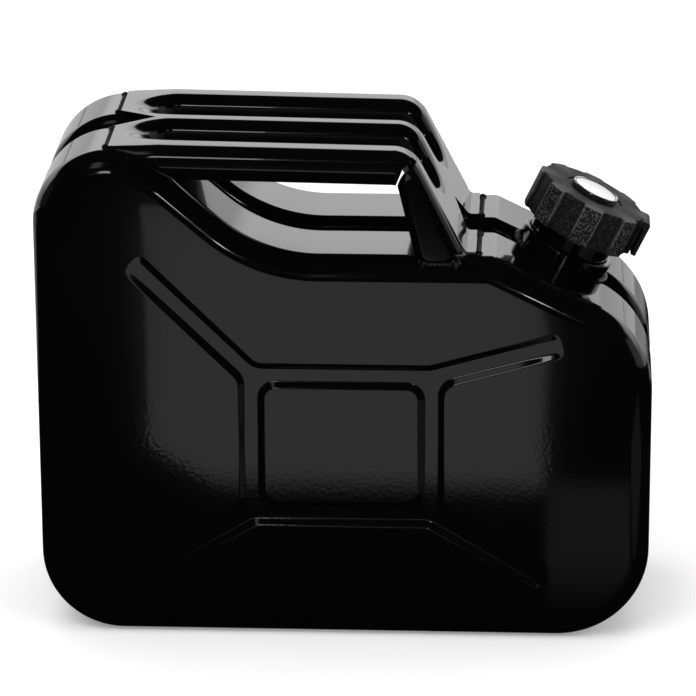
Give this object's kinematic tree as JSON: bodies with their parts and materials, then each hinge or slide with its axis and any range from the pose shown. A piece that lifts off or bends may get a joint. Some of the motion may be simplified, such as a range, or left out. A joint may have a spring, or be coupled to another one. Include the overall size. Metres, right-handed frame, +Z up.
{
  "type": "steel fuel can",
  "caption": "Black pressed-steel fuel can with a welded mid seam, a triple-bar carrying handle over a recess, pressed cross relief on its sides and a lobed screw cap on a slanted filler neck.",
  "frame": {"origin": "middle of the can's footprint, on the surface that it stands on", "axes": "+X along the can towards the filler neck, +Y from the front half to the rear half, +Z up"},
  "size_m": [0.35, 0.14, 0.2914],
  "materials": {
    "black_paint": "gloss black enamel",
    "cap_plastic": "satin black moulded plastic",
    "seal_rubber": "matt black",
    "bright_rim": "bright plated",
    "badge_white": "plain gloss white"
  },
  "bodies": {
    "can": {"front_shell": "black_paint", "rear_shell": "black_paint", "seam_weld": "black_paint", "carry_handle": "black_paint", "tongue_weld_front": "black_paint", "tongue_weld_rear": "black_paint", "foot_weld_front": "black_paint", "foot_weld_rear": "black_paint", "leg_weld_front": "black_paint", "leg_weld_rear": "black_paint", "filler_collar": "black_paint", "collar_weld_low": "black_paint", "collar_weld_high": "black_paint", "filler_neck": "black_paint"},
    "cap_seal": {"cap_gasket": "seal_rubber"},
    "cap": {"cap_shell": "cap_plastic", "cap_badge_rim": "bright_rim", "cap_badge": "badge_white"}
  },
  "joints": [
    {"name": "cap_lift", "type": "slide", "parent": "can", "child": "cap_seal", "axis": [0.4352, 0, 0.9003], "range_m": [0, 0.015]},
    {"name": "cap_turn", "type": "hinge", "parent": "cap_seal", "child": "cap", "pos_m": [0.1224, 0, 0.21018], "axis": [0.4352, 0, 0.9003], "range_deg": [0, 1080]}
  ],
  "couplings": [
    {"joint": "cap_lift", "follows": "cap_turn", "m_per_rad": 0.00079577}
  ]
}
